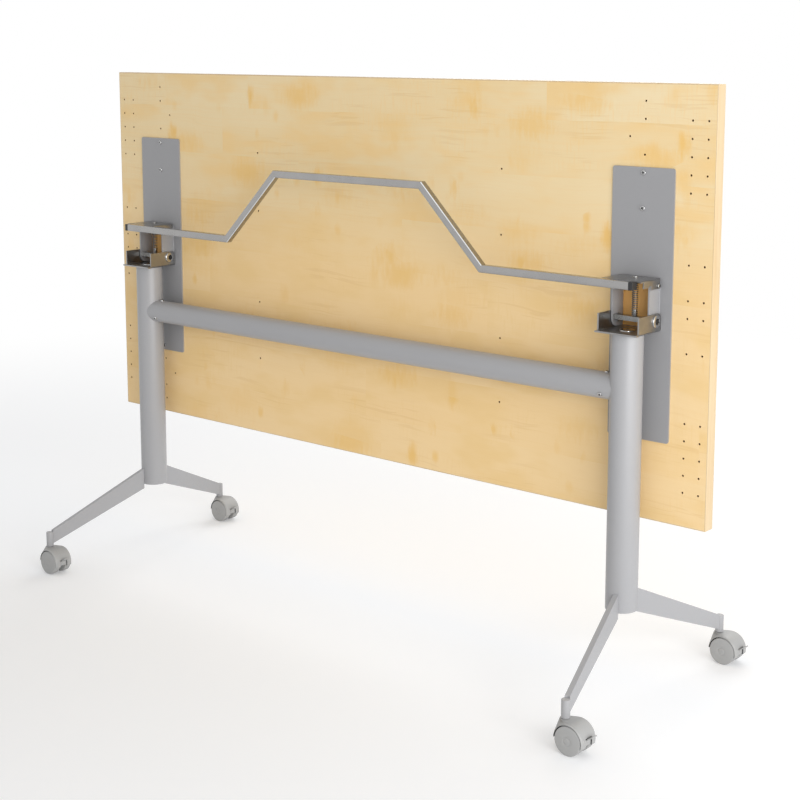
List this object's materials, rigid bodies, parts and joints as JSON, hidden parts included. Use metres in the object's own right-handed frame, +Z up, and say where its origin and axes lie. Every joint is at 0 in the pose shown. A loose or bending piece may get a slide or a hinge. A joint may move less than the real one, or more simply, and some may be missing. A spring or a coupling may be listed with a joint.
{
  "type": "flip top training table",
  "caption": "Training table with a worktop that flips upright on column legs, a sprung release bar, and splayed feet on braked twin-wheel casters.",
  "frame": {"origin": "on the floor, midway between the columns", "axes": "+X along the worktop, +Y towards the working surface as it stands upright, +Z up"},
  "size_m": [1.6, 0.576, 1.129],
  "materials": {
    "maple_laminate": "satin melamine with a fine horizontal maple grain",
    "maple_edge": "plastic edge band in maple colour",
    "silver_paint": "silver grey powder coat, semi-matt",
    "bright_steel": "bright zinc plated sheet steel",
    "zinc_steel": "zinc plated",
    "chrome_bolt": "chrome plated",
    "spring_steel": "bright spring wire",
    "black_plastic": "moulded",
    "grey_plastic": "moulded nylon, fine texture",
    "grey_tread": "moulded wheel"
  },
  "bodies": {
    "frame": {"column_left": "silver_paint", "column_right": "silver_paint", "column_inserts": "zinc_steel", "column_caps": "black_plastic", "crossbar": "silver_paint", "crossbar_spigots": "zinc_steel", "crossbar_screws": "zinc_steel", "hinge_bracket_left": "bright_steel", "hinge_bracket_right": "bright_steel", "bracket_bolts": "zinc_steel", "flip_pivot_bolts": "chrome_bolt", "flip_pivot_nuts": "zinc_steel", "foot_arm_front_left": "silver_paint", "foot_arm_front_right": "silver_paint", "foot_arm_rear_left": "silver_paint", "foot_arm_rear_right": "silver_paint", "caster_socket_front_left": "silver_paint", "caster_socket_front_right": "silver_paint", "caster_socket_rear_left": "silver_paint", "caster_socket_rear_right": "silver_paint", "caster_stem_front_left": "zinc_steel", "caster_stem_front_right": "zinc_steel", "caster_stem_rear_left": "zinc_steel", "caster_stem_rear_right": "zinc_steel"},
    "top": {"worktop": "maple_laminate", "edge_band": "maple_edge", "mounting_plate_left": "silver_paint", "mounting_plate_right": "silver_paint", "plate_screws": "zinc_steel", "spring_seat_left": "silver_paint", "spring_seat_right": "silver_paint", "return_spring_left": "spring_steel", "return_spring_right": "spring_steel", "spring_anchors_lower": "zinc_steel", "lever_pivot_screws": "zinc_steel"},
    "release": {"release_lever_left": "bright_steel", "release_lever_right": "bright_steel", "release_bar": "silver_paint", "bar_end_plugs": "black_plastic", "spring_anchors_upper": "zinc_steel"},
    "caster_front_left": {"caster_housing_front_left": "grey_plastic", "caster_axle_front_left": "zinc_steel"},
    "wheel_front_left_outer": {"caster_wheel_front_left_outer": "grey_tread"},
    "wheel_front_left_inner": {"caster_wheel_front_left_inner": "grey_tread"},
    "pedal_front_left": {"brake_pedal_front_left": "grey_plastic"},
    "caster_front_right": {"caster_housing_front_right": "grey_plastic", "caster_axle_front_right": "zinc_steel"},
    "wheel_front_right_outer": {"caster_wheel_front_right_outer": "grey_tread"},
    "wheel_front_right_inner": {"caster_wheel_front_right_inner": "grey_tread"},
    "pedal_front_right": {"brake_pedal_front_right": "grey_plastic"},
    "caster_rear_left": {"caster_housing_rear_left": "grey_plastic", "caster_axle_rear_left": "zinc_steel"},
    "wheel_rear_left_outer": {"caster_wheel_rear_left_outer": "grey_tread"},
    "wheel_rear_left_inner": {"caster_wheel_rear_left_inner": "grey_tread"},
    "pedal_rear_left": {"brake_pedal_rear_left": "grey_plastic"},
    "caster_rear_right": {"caster_housing_rear_right": "grey_plastic", "caster_axle_rear_right": "zinc_steel"},
    "wheel_rear_right_outer": {"caster_wheel_rear_right_outer": "grey_tread"},
    "wheel_rear_right_inner": {"caster_wheel_rear_right_inner": "grey_tread"},
    "pedal_rear_right": {"brake_pedal_rear_right": "grey_plastic"}
  },
  "joints": [
    {"name": "top_flip", "type": "hinge", "parent": "frame", "child": "top", "pos_m": [0, 0.024, 0.705], "axis": [1, 0, 0], "range_deg": [0, 90]},
    {"name": "release_swing", "type": "hinge", "parent": "top", "child": "release", "pos_m": [0, 0.031, 0.769], "axis": [1, 0, 0], "range_deg": [-14, 0], "stiffness_Nm_per_rad": 0.8, "springref_deg": 34.38, "deforming": ["return_spring_left", "return_spring_right"]},
    {"name": "swivel_front_left", "type": "hinge", "parent": "frame", "child": "caster_front_left", "pos_m": [-0.715, -0.264, 0.0575], "axis": [0, 0, 1], "continuous": true},
    {"name": "spin_front_left_outer", "type": "hinge", "parent": "caster_front_left", "child": "wheel_front_left_outer", "pos_m": [-0.6963, -0.264, 0.0265], "axis": [0, 1, 0], "continuous": true},
    {"name": "spin_front_left_inner", "type": "hinge", "parent": "caster_front_left", "child": "wheel_front_left_inner", "pos_m": [-0.6963, -0.264, 0.0265], "axis": [0, 1, 0], "continuous": true},
    {"name": "brake_front_left", "type": "hinge", "parent": "caster_front_left", "child": "pedal_front_left", "pos_m": [-0.6748, -0.264, 0.028], "axis": [0, 1, 0], "range_deg": [0, 12]},
    {"name": "swivel_front_right", "type": "hinge", "parent": "frame", "child": "caster_front_right", "pos_m": [0.715, -0.264, 0.0575], "axis": [0, 0, 1], "continuous": true},
    {"name": "spin_front_right_outer", "type": "hinge", "parent": "caster_front_right", "child": "wheel_front_right_outer", "pos_m": [0.7337, -0.264, 0.0265], "axis": [0, 1, 0], "continuous": true},
    {"name": "spin_front_right_inner", "type": "hinge", "parent": "caster_front_right", "child": "wheel_front_right_inner", "pos_m": [0.7337, -0.264, 0.0265], "axis": [0, 1, 0], "continuous": true},
    {"name": "brake_front_right", "type": "hinge", "parent": "caster_front_right", "child": "pedal_front_right", "pos_m": [0.7552, -0.264, 0.028], "axis": [0, 1, 0], "range_deg": [0, 12]},
    {"name": "swivel_rear_left", "type": "hinge", "parent": "frame", "child": "caster_rear_left", "pos_m": [-0.715, 0.264, 0.0575], "axis": [0, 0, 1], "continuous": true},
    {"name": "spin_rear_left_outer", "type": "hinge", "parent": "caster_rear_left", "child": "wheel_rear_left_outer", "pos_m": [-0.6963, 0.264, 0.0265], "axis": [0, 1, 0], "continuous": true},
    {"name": "spin_rear_left_inner", "type": "hinge", "parent": "caster_rear_left", "child": "wheel_rear_left_inner", "pos_m": [-0.6963, 0.264, 0.0265], "axis": [0, 1, 0], "continuous": true},
    {"name": "brake_rear_left", "type": "hinge", "parent": "caster_rear_left", "child": "pedal_rear_left", "pos_m": [-0.6748, 0.264, 0.028], "axis": [0, 1, 0], "range_deg": [0, 12]},
    {"name": "swivel_rear_right", "type": "hinge", "parent": "frame", "child": "caster_rear_right", "pos_m": [0.715, 0.264, 0.0575], "axis": [0, 0, 1], "continuous": true},
    {"name": "spin_rear_right_outer", "type": "hinge", "parent": "caster_rear_right", "child": "wheel_rear_right_outer", "pos_m": [0.7337, 0.264, 0.0265], "axis": [0, 1, 0], "continuous": true},
    {"name": "spin_rear_right_inner", "type": "hinge", "parent": "caster_rear_right", "child": "wheel_rear_right_inner", "pos_m": [0.7337, 0.264, 0.0265], "axis": [0, 1, 0], "continuous": true},
    {"name": "brake_rear_right", "type": "hinge", "parent": "caster_rear_right", "child": "pedal_rear_right", "pos_m": [0.7552, 0.264, 0.028], "axis": [0, 1, 0], "range_deg": [0, 12]}
  ]
}
